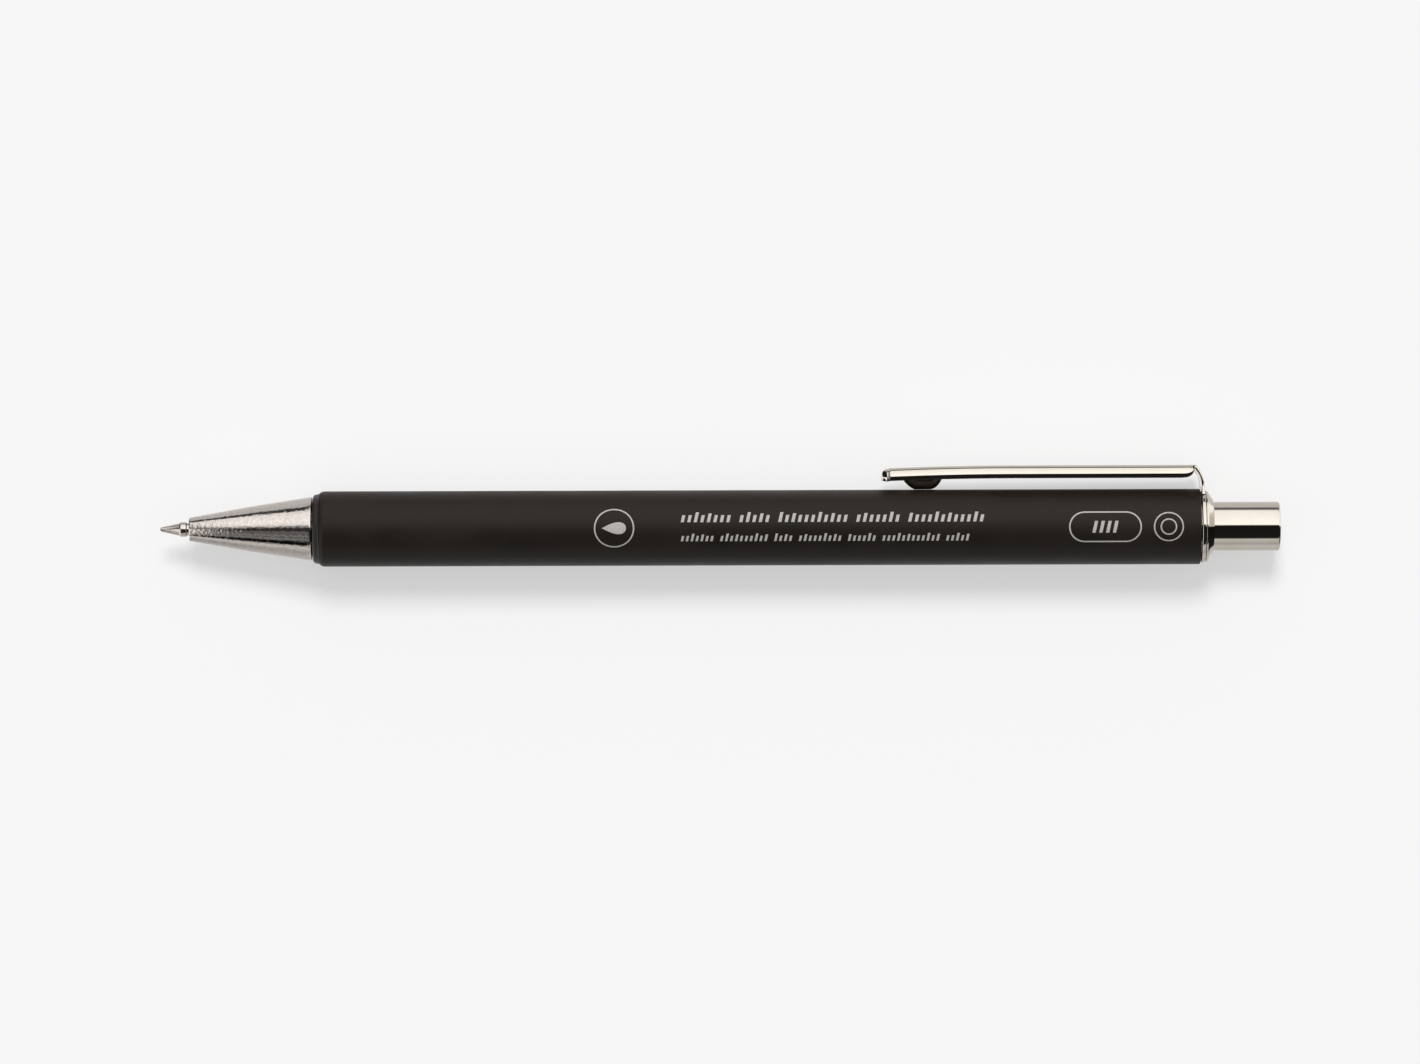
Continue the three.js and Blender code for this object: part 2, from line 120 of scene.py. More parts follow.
def finished(name, bm, sharp=30):
    """Object of a bmesh with its faces turned out, smooth except at edges sharper than an angle."""
    bmesh.ops.recalc_face_normals(bm, faces=bm.faces)
    mesh = bpy.data.meshes.new(name)
    bm.to_mesh(mesh)
    bm.free()
    mesh.shade_smooth()
    mesh.set_sharp_from_angle(angle=radians(sharp))
    return add_object(name, mesh)


def rounded(corners, closed=True, steps=5, share=0.48):
    """Outline through (station, radius) or (station, radius, fillet) corners, with arcs for fillets.

    A fillet takes up to that share of the shorter side next to it.
    """
    outline = []
    count = len(corners)
    for i, corner in enumerate(corners):
        here = Vector(corner[:2])
        fillet = corner[2] if len(corner) > 2 else 0
        if not fillet or (not closed and i in (0, count - 1)):
            outline.append(here)
            continue
        before = Vector(corners[i - 1][:2]) - here
        after = Vector(corners[(i + 1) % count][:2]) - here
        half = before.angle(after) / 2
        reach = min(fillet / tan(half), share * before.length, share * after.length)
        radius = reach * tan(half)
        bisector = (before.normalized() + after.normalized()).normalized()
        centre = here + bisector * (radius / sin(half))
        start = here + before.normalized() * reach - centre
        end = here + after.normalized() * reach - centre
        first = atan2(start.y, start.x)
        sweep = atan2(end.y, end.x) - first
        sweep = (sweep + pi) % (2 * pi) - pi
        for k in range(steps + 1):
            angle = first + sweep * k / steps
            outline.append(centre + radius * Vector((cos(angle), sin(angle))))
    return outline


def turned(name, outline, sides=144, swell=None):
    """Solid of revolution of a closed outline, or of one whose two ends lie on the axis.

    swell(station, radius, angle) may add to a point's radius, for threads and knurls.
    """
    bm = bmesh.new()
    on_axis = outline[0].y == 0
    rings = []
    for station, radius in outline:
        if radius == 0:
            rings.append([bm.verts.new(place(station, 0, 0))])
            continue
        ring = []
        for k in range(sides):
            angle = 2 * pi * k / sides
            r = radius + (swell(station, radius, angle) if swell else 0)
            ring.append(bm.verts.new(place(station, r * cos(angle), r * sin(angle))))
        rings.append(ring)
    pairs = list(zip(rings, rings[1:]))
    if not on_axis:
        pairs.append((rings[-1], rings[0]))
    for near, far in pairs:
        for k in range(sides):
            n = (k + 1) % sides
            corners = [ring[i % len(ring)] for ring, i in ((near, k), (near, n), (far, n), (far, k))]
            bm.faces.new(list(dict.fromkeys(corners)))
    return finished(name, bm)


def lofted(name, loops):
    """Closed surface through loops that have the same number of points."""
    bm = bmesh.new()
    rows = [[bm.verts.new(point) for point in loop] for loop in loops]
    count = len(rows[0])
    for near, far in zip(rows, rows[1:]):
        for k in range(count):
            n = (k + 1) % count
            bm.faces.new((near[k], near[n], far[n], far[k]))
    ends = [bm.faces.new(rows[0]), bm.faces.new(rows[-1])]
    bmesh.ops.triangulate(bm, faces=ends)
    return finished(name, bm, 35)


# ---------------------------------------------------------------------------------------------------
# Materials


def material(name, color, roughness, metallic=0.0, **sockets):
    """New node material. Returns the material, its nodes, its links and its Principled shader."""
    made = bpy.data.materials.new(name)
    made.use_nodes = True
    nodes, links = made.node_tree.nodes, made.node_tree.links
    shader = nodes["Principled BSDF"]
    shader.inputs["Base Color"].default_value = (*color, 1)
    shader.inputs["Roughness"].default_value = roughness
    shader.inputs["Metallic"].default_value = metallic
    for socket, value in sockets.items():
        shader.inputs[socket.replace("_", " ")].default_value = value
    return made, nodes, links, shader


def coordinates(nodes, links, stretch=(1, 1, 1)):
    """Place on the piece in millimetres, stretched along the pen or across it."""
    source = nodes.new("ShaderNodeTexCoord")
    mapping = nodes.new("ShaderNodeMapping")
    mapping.inputs["Scale"].default_value = [s / MM for s in stretch]
    links.new(source.outputs["Object"], mapping.inputs["Vector"])
    return mapping.outputs["Vector"]


def noise(nodes, links, vector, scale, detail, rough=0.55):
    """Noise of about `scale` spots to a millimetre."""
    texture = nodes.new("ShaderNodeTexNoise")
    texture.inputs["Scale"].default_value = scale
    texture.inputs["Detail"].default_value = detail
    texture.inputs["Roughness"].default_value = rough
    links.new(vector, texture.inputs["Vector"])
    return texture.outputs["Fac"]


def spread(nodes, links, value, low, high, start=0.3, end=0.7):
    """The value's range from start to end, spread from low to high."""
    ranged = nodes.new("ShaderNodeMapRange")
    ranged.inputs["From Min"].default_value = start
    ranged.inputs["From Max"].default_value = end
    ranged.inputs["To Min"].default_value = low
    ranged.inputs["To Max"].default_value = high
    links.new(value, ranged.inputs["Value"])
    return ranged.outputs["Result"]


def tinted(nodes, links, value, first, second):
    """Colour that goes from first to second with the value. Each is a colour or a node's output."""
    mix = nodes.new("ShaderNodeMix")
    mix.data_type = "RGBA"
    for name, color in (("A", first), ("B", second)):
        if isinstance(color, bpy.types.NodeSocket):
            links.new(color, mix.inputs[name])
        else:
            mix.inputs[name].default_value = (*color, 1)
    links.new(value, mix.inputs["Factor"])
    return mix.outputs["Result"]


def mottled(nodes, links, shader, pattern, dark, light):
    """Base colour that goes from dark to light with a noise pattern."""
    share = spread(nodes, links, pattern, 0, 1)
    links.new(tinted(nodes, links, share, dark, light), shader.inputs["Base Color"])


def roughened(nodes, links, shader, pattern, low, high):
    """Roughness that goes from low to high with a noise pattern."""
    links.new(spread(nodes, links, pattern, low, high), shader.inputs["Roughness"])


def bumped(nodes, links, shader, height, distance_mm, strength, under=None):
    """Bump of a height in millimetres, over an earlier bump if one is given."""
    bump = nodes.new("ShaderNodeBump")
    bump.inputs["Strength"].default_value = strength
    bump.inputs["Distance"].default_value = distance_mm * MM
    links.new(height, bump.inputs["Height"])
    if under:
        links.new(under, bump.inputs["Normal"])
    links.new(bump.outputs["Normal"], shader.inputs["Normal"])
    return bump.outputs["Normal"]


def soft_rubber():
    """Soft-touch black skin: fine grain, faint handling marks and a little dust."""
    made, nodes, links, shader = material(
        "soft_rubber", (0.0095, 0.0064, 0.0046), 0.5, Specular_IOR_Level=0.18
    )
    here = coordinates(nodes, links)
    broad = noise(nodes, links, here, 0.16, 4)
    grain = noise(nodes, links, here, 9, 2)
    dust = noise(nodes, links, here, 3.1, 5, 0.7)
    handled = spread(nodes, links, broad, 0, 1)
    color = tinted(nodes, links, handled, (0.0078, 0.0052, 0.0036), (0.0115, 0.008, 0.006))
    dusty = spread(nodes, links, dust, 0, 0.5, 0.66, 0.78)
    specks = tinted(nodes, links, dusty, color, (0.042, 0.037, 0.033))
    links.new(specks, shader.inputs["Base Color"])
    roughened(nodes, links, shader, broad, 0.43, 0.54)
    bumped(nodes, links, shader, grain, 0.006, 0.6)
    return made


def moulded_plastic(name, dark, light, roughness, **sockets):
    """Moulded plastic with flow shading and a fine spark-eroded grain."""
    made, nodes, links, shader = material(name, light, roughness, **sockets)
    here = coordinates(nodes, links, (0.5, 1, 1))
    flow = noise(nodes, links, here, 0.7, 4)
    grain = noise(nodes, links, here, 11, 2)
    mottled(nodes, links, shader, flow, dark, light)
    roughened(nodes, links, shader, grain, roughness - 0.07, roughness + 0.07)
    bumped(nodes, links, shader, grain, 0.003, 0.5)
    return made


def plating():
    """Mirror-bright plating with a faint orange peel and hairline scratches along the pen."""
    roughness = 0.04
    made, nodes, links, shader = material("bright_plating", (0.5, 0.46, 0.405), roughness, 1.0)
    here = coordinates(nodes, links)
    along = coordinates(nodes, links, (0.12, 1, 1))
    broad = noise(nodes, links, here, 0.35, 3)
    hairs = noise(nodes, links, along, 14, 2)
    mottled(nodes, links, shader, broad, (0.485, 0.445, 0.39), (0.515, 0.48, 0.425))
    roughened(nodes, links, shader, hairs, roughness * 0.6, roughness * 1.7)
    peel = bumped(nodes, links, shader, broad, 0.004, 0.4)
    bumped(nodes, links, shader, hairs, 0.0004, 0.5, peel)
    return made


def turned_plating():
    """Satin plating over a lathe-turned cone: fine rings round it and a sparkling grain."""
    made, nodes, links, shader = material("turned_plating", (0.5, 0.455, 0.425), 0.17, 1.0)
    here = coordinates(nodes, links)
    rings = coordinates(nodes, links, (1, 0.02, 0.02))
    groove = noise(nodes, links, rings, 9, 3)
    grain = noise(nodes, links, here, 2.7, 2, 0.6)
    mottled(nodes, links, shader, grain, (0.45, 0.405, 0.375), (0.54, 0.5, 0.47))
    roughened(nodes, links, shader, grain, 0.045, 0.08)
    lathe = bumped(nodes, links, shader, groove, 0.003, 0.5)
    bumped(nodes, links, shader, grain, 0.03, 0.75, lathe)
    return made


def turned_metal(name, dark, light, roughness):
    """Bare turned metal: rings round the pen's axis and a faint tarnish."""
    made, nodes, links, shader = material(name, light, roughness, 1.0)
    here = coordinates(nodes, links)
    rings = coordinates(nodes, links, (1, 0.03, 0.03))
    tarnish = noise(nodes, links, here, 1.4, 4)
    groove = noise(nodes, links, rings, 22, 2)
    mottled(nodes, links, shader, tarnish, dark, light)
    roughened(nodes, links, shader, groove, roughness * 0.7, roughness * 1.4)
    bumped(nodes, links, shader, groove, 0.002, 0.6)
    return made


def fluid(name, dark, light, roughness, **sockets):
    """Wet filling of the refill, with slow streaks along it."""
    made, nodes, links, shader = material(name, light, roughness, **sockets)
    streaks = noise(nodes, links, coordinates(nodes, links, (0.1, 1, 1)), 1.2, 3)
    mottled(nodes, links, shader, streaks, dark, light)
    roughened(nodes, links, shader, streaks, roughness * 0.7, roughness * 1.3)
    bumped(nodes, links, shader, streaks, 0.02, 0.3)
    return made


def print_ink():
    """Light grey pad-printed ink, thin enough to break up a little on the grain."""
    made, nodes, links, shader = material("print_ink", (0.36, 0.345, 0.325), 0.5)
    here = coordinates(nodes, links)
    cover = noise(nodes, links, here, 7, 3, 0.6)
    mottled(nodes, links, shader, cover, (0.27, 0.258, 0.243), (0.42, 0.402, 0.38))
    roughened(nodes, links, shader, cover, 0.6, 0.42)
    bumped(nodes, links, shader, cover, 0.003, 0.5)
    return made


RUBBER = soft_rubber()
BLACK_PLASTIC = moulded_plastic(
    "black_plastic", (0.011, 0.0082, 0.007), (0.017, 0.0135, 0.012), 0.4, Specular_IOR_Level=0.25
)
WHITE_PLASTIC = moulded_plastic("white_plastic", (0.62, 0.6, 0.55), (0.74, 0.72, 0.67), 0.42)
CLEAR_PLASTIC = moulded_plastic(
    "clear_plastic", (0.72, 0.76, 0.77), (0.82, 0.85, 0.86), 0.18, Transmission_Weight=0.75
)
PLATING = plating()
CONE_PLATING = turned_plating()
SPRING_STEEL = turned_metal("spring_steel", (0.38, 0.37, 0.36), (0.5, 0.49, 0.48), 0.28)
NICKEL_SILVER = turned_metal("nickel_silver", (0.43, 0.395, 0.36), (0.52, 0.48, 0.44), 0.14)
HARD_BALL = turned_metal("hard_ball", (0.16, 0.16, 0.165), (0.25, 0.25, 0.255), 0.12)
BLACK_INK = fluid("black_ink", (0.002, 0.002, 0.003), (0.006, 0.006, 0.009), 0.12)
GREASE = fluid("grease", (0.55, 0.47, 0.3), (0.68, 0.6, 0.42), 0.3, Transmission_Weight=0.3)
PRINT = print_ink()


def dress(piece, look):
    """Give a piece its material."""
    piece.data.materials.clear()
    piece.data.materials.append(look)
    return piece


def dress_node(node, look):
    """Give a CAD piece that stays its material."""
    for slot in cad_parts[node].material_slots:
        slot.material = look


# ---------------------------------------------------------------------------------------------------
# Barrel


def sleeve():
    bore = 4.39
    outline = rounded(
        [
            (SLEEVE_FRONT, bore),
            (SLEEVE_FRONT, SLEEVE_RADIUS - 0.14, 0.1),
            (SLEEVE_FRONT + 0.42, SLEEVE_RADIUS, 0.4),
            (SLEEVE_REAR, SLEEVE_RADIUS, 0.32),
            (SLEEVE_REAR, bore),
        ],
        steps=8,
    )
    return turned("sleeve", outline, 192)


def lip():
    """Threaded insert of the barrel, with its rounded lip in front of the sleeve."""
    bore = 3.5
    insert = 3.8
    lip_rear = SLEEVE_FRONT - 0.04
    thread_pitch = 0.75
    outline = rounded(
        [
            (LIP_FRONT, bore),
            (LIP_FRONT, 4.3, 0.42),
            (LIP_FRONT + 0.75, 4.44, 0.5),
            (lip_rear, 4.56, 0.06),
            (lip_rear, insert),
            (COLLAR_END, insert),
            (COLLAR_END, bore),
        ],
        steps=8,
    )
    dense = []
    for near, far in zip(outline, outline[1:] + outline[:1]):
        inside = near.y == bore and far.y == bore
        pieces = round(abs(far.x - near.x) / (thread_pitch / 6)) if inside else 1
        dense += [near.lerp(far, i / pieces) for i in range(pieces)]

    def thread(station, radius, angle):
        if radius > bore + 0.001 or not LIP_FRONT + 1 < station < COLLAR_END - 0.4:
            return 0
        return 0.1 * abs(((station / thread_pitch + angle / (2 * pi)) % 1) * 2 - 1)

    return turned("collar", dense, swell=thread)


def end_cap():
    bore = 3.2
    dome_front = RING_REAR + 0.05
    shoulder = 4.6
    mouth = bore + 0.2
    dome = rounded(
        [
            (dome_front, 3.75),
            (dome_front, shoulder - 0.02, 0.05),
            (dome_front + 0.22, shoulder - 0.02, 0.2),
            (dome_front + 0.62, 3.98, 0.5),
            (CAP_REAR, mouth + 0.06, 0.12),
            (CAP_REAR, bore),
        ],
        closed=False,
        steps=7,
    )
    outline = [
        Vector((CAP_FRONT, bore)),
        Vector((CAP_FRONT, 3.65)),
        Vector((CAP_FRONT + 0.1, 3.75)),
        *dome,
    ]
    return turned("cap", outline)


def washer():
    bore = 3.85
    rim = 4.66
    outline = rounded(
        [(RING_FRONT, bore), (RING_FRONT, rim, 0.12), (RING_REAR, rim, 0.12), (RING_REAR, bore)]
    )
    return turned("clip_washer", outline, 192)


# ---------------------------------------------------------------------------------------------------
# Nose cone


def cone():
    tip_bore = 1.0
    neck_bore = 1.4
    spring_bore = 2.1
    main_bore = 2.9
    rim = 4.1
    spigot = 3.4
    groove = 3.2
    thread_pitch = 0.75
    thread_depth = 0.16
    thread_front = NOSE_REAR + 1.3
    outline = rounded(
        [
            (NOSE_FRONT, tip_bore, 0.06),
            (NOSE_FRONT, 1.48, 0.16),
            ((NOSE_FRONT + NOSE_REAR) / 2, 2.88, 30),
            (NOSE_REAR, rim, 0.16),
            (NOSE_REAR, groove, 0.05),
            (NOSE_REAR + 0.9, groove, 0.05),
            (NOSE_REAR + 1.1, spigot, 0.05),
            (SPIGOT_END, spigot, 0.22),
            (SPIGOT_END, main_bore, 0.08),
            (17, main_bore, 0.5),
            (13, spring_bore, 0.5),
            (10.5, spring_bore),
            (10.5, neck_bore),
            (5.8, neck_bore),
            (5.4, tip_bore),
        ],
        steps=6,
    )
    dense = []
    for near, far in zip(outline, outline[1:] + outline[:1]):
        threaded = near.y > spigot - 0.001 and far.y > spigot - 0.001 and near.x > NOSE_REAR + 1
        tapered = near.x < NOSE_REAR - 1 < far.x
        pieces = round(abs(far.x - near.x) / (thread_pitch / 10)) if threaded else 12 if tapered else 1
        dense += [near.lerp(far, i / max(1, pieces)) for i in range(max(1, pieces))]

    def thread(station, radius, angle):
        if abs(radius - spigot) > 0.001 or not thread_front < station < SPIGOT_END - 0.3:
            return 0
        phase = (station / thread_pitch + angle / (2 * pi)) % 1
        fade = min(1, (station - thread_front) / 0.4, (SPIGOT_END - 0.3 - station) / 0.4)
        return -thread_depth * fade * min(1, max(0, 1.5 * abs(phase * 2 - 1) - 0.2))

    return turned("cone", dense, 160, swell=thread)


# ---------------------------------------------------------------------------------------------------
# Clip

SHEET = 0.42
CLIP_FREE_TOP = 7.45
CLIP_TAB = 4.4
CLIP_HEIGHT = 1.62
BEND_FRONT = 131.0


def clip_top(station):
    """The clip's outer face, which curves nearer the sleeve towards its free end."""
    straight_from = 108
    bowed = max(0, (straight_from - station) / (straight_from - CLIP_END))
    return CLIP_TOP - (CLIP_TOP - CLIP_FREE_TOP) * bowed**2


def dimple_depth(station, across):
    """Pressed boss: a straight ramp in front, a flat, a round back and round sides."""
    deepest = clip_top(station) - SHEET - SLEEVE_SKIN - 0.01
    ramp_front, flat_front, flat_rear, back_rear, half_width = 92.6, 95.6, 97.5, 99.5, 1.5
    ramp = min(1, max(0, (station - ramp_front) / (flat_front - ramp_front)))
    ramp = ramp - 0.06 * sin(2 * pi * ramp)
    behind = min(1, max(0, (station - flat_rear) / (back_rear - flat_rear)))
    dish = max(0, 1 - behind**2 - (across / half_width) ** 2)
    return deepest * ramp * dish**0.6


def clip_section(width, height, depth_at):
    """Loop round the strip's section, as (across, out) from the middle of its outer face.

    The strip's shoulders are round, its sides lean out a little and turn in at their lower edges.
    """
    low = width / 2
    top = low - 0.07 * height
    lip = SHEET + 0.02
    bevel = 0.26 * height
    profile = rounded(
        [
            (0, 0),
            (top, 0, 0.66 * height),
            (low, bevel - height, 1.2 * bevel),
            (low - 0.45 * bevel, -height, 0.24 * bevel),
            (low - lip, -height, 0.04),
            (top - SHEET, -SHEET, 0.06),
            (0, -SHEET),
        ],
        closed=False,
        steps=8,
        share=0.9,
    )
    right = [(p.x, p.y) for p in profile[1:-1]]
    left = [(-z, n) for z, n in reversed(right)]
    columns = [cos(pi * k / 32) for k in range(1, 32)]
    outer = [(-right[0][0] * c, -depth_at(right[-1][0] * c)) for c in columns]
    inner = [(right[-1][0] * c, -SHEET - depth_at(right[-1][0] * c)) for c in columns]
    return outer + right + inner + left


def clip():
    """Pressed strip: a channel, closed at its free end, that fades out at the bend above its tab."""
    loops = []

    def undimpled(across):
        return 0

    def add(station, out, slope, width, height, depth_at=undimpled):
        loop = [
            place(station - sin(slope) * n, out + cos(slope) * n, z)
            for z, n in clip_section(width, height, depth_at)
        ]
        loops.append(loop)

    front_width = CLIP_WIDTH - 0.9
    nose = 0.95
    nose_steps = 9
    for k in range(nose_steps, 0, -1):
        drop = 1 - sqrt(1 - (0.98 * k / nose_steps) ** 2)
        station = CLIP_END + nose * (1 - k / nose_steps)
        top = CLIP_FREE_TOP - 0.02 - 0.55 * drop
        add(station, top, 0, front_width - 0.14 - 1.7 * drop, CLIP_HEIGHT - 0.72 * drop)
    station = CLIP_END + nose + 0.04
    dimpled_to = 99.95
    while station < dimpled_to:
        depth_here = partial(dimple_depth, station)
        add(station, clip_top(station), 0, front_width, CLIP_HEIGHT, depth_here)
        station += 0.15
    plain_front, plain_rear, plain_steps = 100.2, 129.7, 12
    for k in range(1, plain_steps + 1):
        share = k / plain_steps
        station = plain_front + (plain_rear - plain_front) * share
        width = front_width + (CLIP_WIDTH - front_width) * share**0.8
        add(station, clip_top(station), 0, width, CLIP_HEIGHT)
    fade_front, fade_steps = 129.8, 10
    for k in range(1, fade_steps + 1):
        share = k / fade_steps
        station = fade_front + (BEND_FRONT - fade_front) * share
        height = SHEET + 0.08 + (CLIP_HEIGHT - SHEET - 0.1) * sqrt(1 - share**2)
        add(station, clip_top(station), 0, CLIP_WIDTH, height)

    station, out, angle = BEND_FRONT, CLIP_TOP, 0.0
    for radius, last_angle, steps in ((0.5, 50, 7), (3.9, 86, 12)):
        turn = (radians(last_angle) - angle) / steps
        for _ in range(steps):
            chord = 2 * radius * sin(turn / 2)
            station += chord * cos(angle + turn / 2)
            out -= chord * sin(angle + turn / 2)
            angle += turn
            width = CLIP_WIDTH + (CLIP_TAB - CLIP_WIDTH) * (CLIP_TOP - out) / (CLIP_TOP - 5.2)
            add(station, out, -angle, width, SHEET + 0.04)
    rear = min(RING_REAR - 0.02, station + 0.07)
    for out, width in ((5.05, 4.42), (4.85, 4.5), (4.6, 4.66), (4.35, 4.84), (4.12, 4.88)):
        add(rear, out, -pi / 2, width, SHEET + 0.04)
    return lofted("clip_strip", loops)


# ---------------------------------------------------------------------------------------------------
# Button and point


def button_shell():
    radius = (button_high.z - button_low.z) / 2 / MM
    wall = 0.43
    floor = PEN_LENGTH - 0.6
    dome, face_radius = 0.14, 2.5
    stem_front, stem_bore, stem_radius = 136, 1.85, 2.3
    face = [
        Vector((PEN_LENGTH - dome * (r / face_radius) ** 2, r))
        for r in (2.3, 2.1, 1.9, 1.6, 1.3, 1.0, 0.7, 0.4, 0.15, 0)
    ]
    outline = rounded(
        [
            (floor, stem_bore),
            (stem_front, stem_bore),
            (stem_front, stem_radius),
            (floor, stem_radius),
            (floor, radius - wall),
            (BUTTON_FRONT, radius - wall),
            (BUTTON_FRONT, radius, 0.1),
            (PEN_LENGTH - dome, radius, 0.6),
            (PEN_LENGTH - dome, face_radius),
        ],
        closed=False,
        steps=9,
    )
    return turned("push_button", [Vector((floor, 0)), *outline, *face], 160)


BALL_RADIUS = 0.25


def point():
    """Turned point: its socket in front is spun over the ball, and its shank has a small bead."""
    socket = BALL_RADIUS + 0.012
    lip_station = 0.13
    bead, shank, spigot, bore = 0.93, 0.8, 0.7, 0.4
    shank_rear, spigot_rear = 7.15, 10.4
    seat_steps, first_angle = 8, 0.46
    sweep = acos((lip_station - BALL_RADIUS) / socket) - first_angle
    angles = [first_angle + sweep * k / seat_steps for k in range(seat_steps + 1)]
    ball_seat = [Vector((BALL_RADIUS + socket * cos(a), socket * sin(a))) for a in angles]
    outline = rounded(
        [
            (lip_station, 0.275, 0.02),
            (0.42, 0.33, 0.2),
            (2.5, 0.8, 0.06),
            (2.58, bead, 0.24),
            (3.32, bead, 0.24),
            (3.4, shank, 0.04),
            (shank_rear, shank, 0.1),
            (shank_rear, spigot),
            (spigot_rear, spigot, 0.1),
            (spigot_rear, bore),
            (1.6, bore),
            (1.1, 0.117),
        ],
        closed=False,
        steps=5,
    )
    return turned("point", [*outline, *ball_seat], 96)


def ball():
    """Lapped ball, as a sphere of revolution about the pen's axis."""
    count = 24
    angles = [pi * k / count for k in range(count + 1)]
    outline = [
        Vector((BALL_RADIUS - BALL_RADIUS * cos(a), BALL_RADIUS * sin(a))) for a in angles
    ]
    outline[0].y = outline[-1].y = 0
    return turned("ball", outline, 48)


def spring():
    """Coil with a closed turn at each end, swept with a round section."""
    wire, mean_radius, turns, per_turn, sides = 0.16, 1.8, 8, 40, 12
    start = station_of(spring_low.x) + wire
    end = station_of(spring_high.x) - wire
    end_pitch = 2.3 * wire
    middle = (end - start - 2 * end_pitch) / (turns - 2)
    loops = []
    for k in range(turns * per_turn + 1):
        turn = k / per_turn
        active = min(max(turn - 1, 0), turns - 2)
        station = start + (turn - active) * end_pitch + active * middle
        angle = 2 * pi * turn
        loop = []
        for j in range(sides):
            a = 2 * pi * j / sides
            radius = mean_radius + wire * cos(a)
            loop.append(place(station + wire * sin(a), radius * cos(angle), radius * sin(angle)))
        loops.append(loop)
    return lofted("coil_spring", loops)


# ---------------------------------------------------------------------------------------------------
# Print: plain marks in the places of the barrel's words, figures and signs, none of them lettering

PRINT_FOOT = 0.002  # gap under the print, and over it to the frame's skin
PRINT_THICKNESS = SLEEVE_SKIN - SLEEVE_RADIUS - 2 * PRINT_FOOT
LEAN = 0.22  # how far a printed stroke leans for each millimetre of its height


def wrapped(name, bm):
    """Flat marks, drawn in millimetres as (station, height up the barrel), laid round the sleeve."""
    bmesh.ops.triangulate(bm, faces=bm.faces)
    longest = 0.25
    for _ in range(8):
        long_edges = [e for e in bm.edges if abs(e.verts[0].co.y - e.verts[1].co.y) > longest]
        if not long_edges:
            break
        bmesh.ops.subdivide_edges(bm, edges=long_edges, cuts=1)
        bmesh.ops.triangulate(bm, faces=[f for f in bm.faces if len(f.verts) > 3])
    radius = SLEEVE_RADIUS + PRINT_FOOT
    for v in bm.verts:
        angle = v.co.y / SLEEVE_RADIUS
        v.co = place(v.co.x, radius * sin(angle), radius * cos(angle))
    bm.normal_update()
    bmesh.ops.reverse_faces(bm, faces=[f for f in bm.faces if f.normal.z < 0])
    bmesh.ops.solidify(bm, geom=bm.faces[:], thickness=PRINT_THICKNESS * MM)
    return finished(name, bm, 60)


def outline_face(bm, points):
    return bm.faces.new([bm.verts.new((x, y, 0)) for x, y in points])


def circle_points(centre, radius, count):
    """Outline of a circle."""
    angles = [2 * pi * k / count for k in range(count)]
    return [(centre[0] + radius * cos(a), centre[1] + radius * sin(a)) for a in angles]


def capsule_points(low, high, bottom, top):
    """Outline of a bar with round ends."""
    radius = (top - bottom) / 2
    steps = 8
    points = []
    for cx, cy, first in (
        (high - radius, bottom + radius, -pi / 2),
        (high - radius, top - radius, 0),
        (low + radius, top - radius, pi / 2),
        (low + radius, bottom + radius, pi),
    ):
        for k in range(steps + 1):
            angle = first + pi / 2 * k / steps
            points.append((cx + radius * cos(angle), cy + radius * sin(angle)))
    return points


def ring_of(bm, outer, inner):
    """Band between two outlines that have the same number of points."""
    rows = [[bm.verts.new((x, y, 0)) for x, y in points] for points in (outer, inner)]
    count = len(outer)
    for k in range(count):
        n = (k + 1) % count
        bm.faces.new((rows[0][k], rows[0][n], rows[1][n], rows[1][k]))


def slanted_stroke(bm, x, bottom, width, tall):
    corners = ((0, 0), (width, 0), (width + LEAN * tall, tall), (LEAN * tall, tall))
    outline_face(bm, [(x + dx, bottom + dy) for dx, dy in corners])


def printed_lines():
    """Two rows of slanted strokes, grouped as words are."""
    bm = bmesh.new()
    heights = (1.0, 1.0, 1.42, 1.0, 1.25, 1.0)
    rows = (
        (0.72, 66.0, 0.92, 0.4, 0.82, (8, 5, 11, 7, 12)),
        (-1.72, 66.0, 0.7, 0.3, 0.62, (7, 10, 4, 9, 6, 12, 5)),
    )
    for bottom, start, height, width, pitch, words in rows:
        for word, strokes in enumerate(words):
            for k in range(strokes):
                tall = height * heights[(k + word) % len(heights)]
                slanted_stroke(bm, start, bottom, width, tall)
                start += pitch
            start += pitch
    return wrapped("print_lines", bm)


def printed_drop():
    """Ink drop in a ring."""
    bm = bmesh.new()
    centre = (57.6, 0.0)
    count = 48
    ring_of(bm, circle_points(centre, 2.55, count), circle_points(centre, 2.37, count))
    drop = []
    for k in range(count):
        angle = 2 * pi * k / count
        width = 1.05 * sin(angle) * sin(angle / 2) ** 1.3
        drop.append((centre[0] - 1.55 * cos(angle) - 0.05, centre[1] + width))
    outline_face(bm, drop)
    return wrapped("print_drop", bm)


def printed_capsule():
    """Capsule round four slanted strokes."""
    bm = bmesh.new()
    low, high, half, line = 115.0, 124.2, 2.0, 0.18
    outer = capsule_points(low, high, -half, half)
    inner = capsule_points(low + line, high - line, -half + line, half - line)
    ring_of(bm, outer, inner)
    tall, width, pitch, count = 1.5, 0.42, 0.86, 4
    start = (low + high - pitch * (count - 1) - width - LEAN * tall) / 2
    for k in range(count):
        slanted_stroke(bm, start + k * pitch, -tall / 2, width, tall)
    return wrapped("print_capsule", bm)


def printed_ring():
    """Small double ring near the clip's root."""
    bm = bmesh.new()
    centre = (127.6, 0.0)
    count = 40
    for outer, inner in ((1.9, 1.73), (1.05, 0.88)):
        ring_of(bm, circle_points(centre, outer, count), circle_points(centre, inner, count))
    return wrapped("print_rings", bm)


# ---------------------------------------------------------------------------------------------------
# Assembly


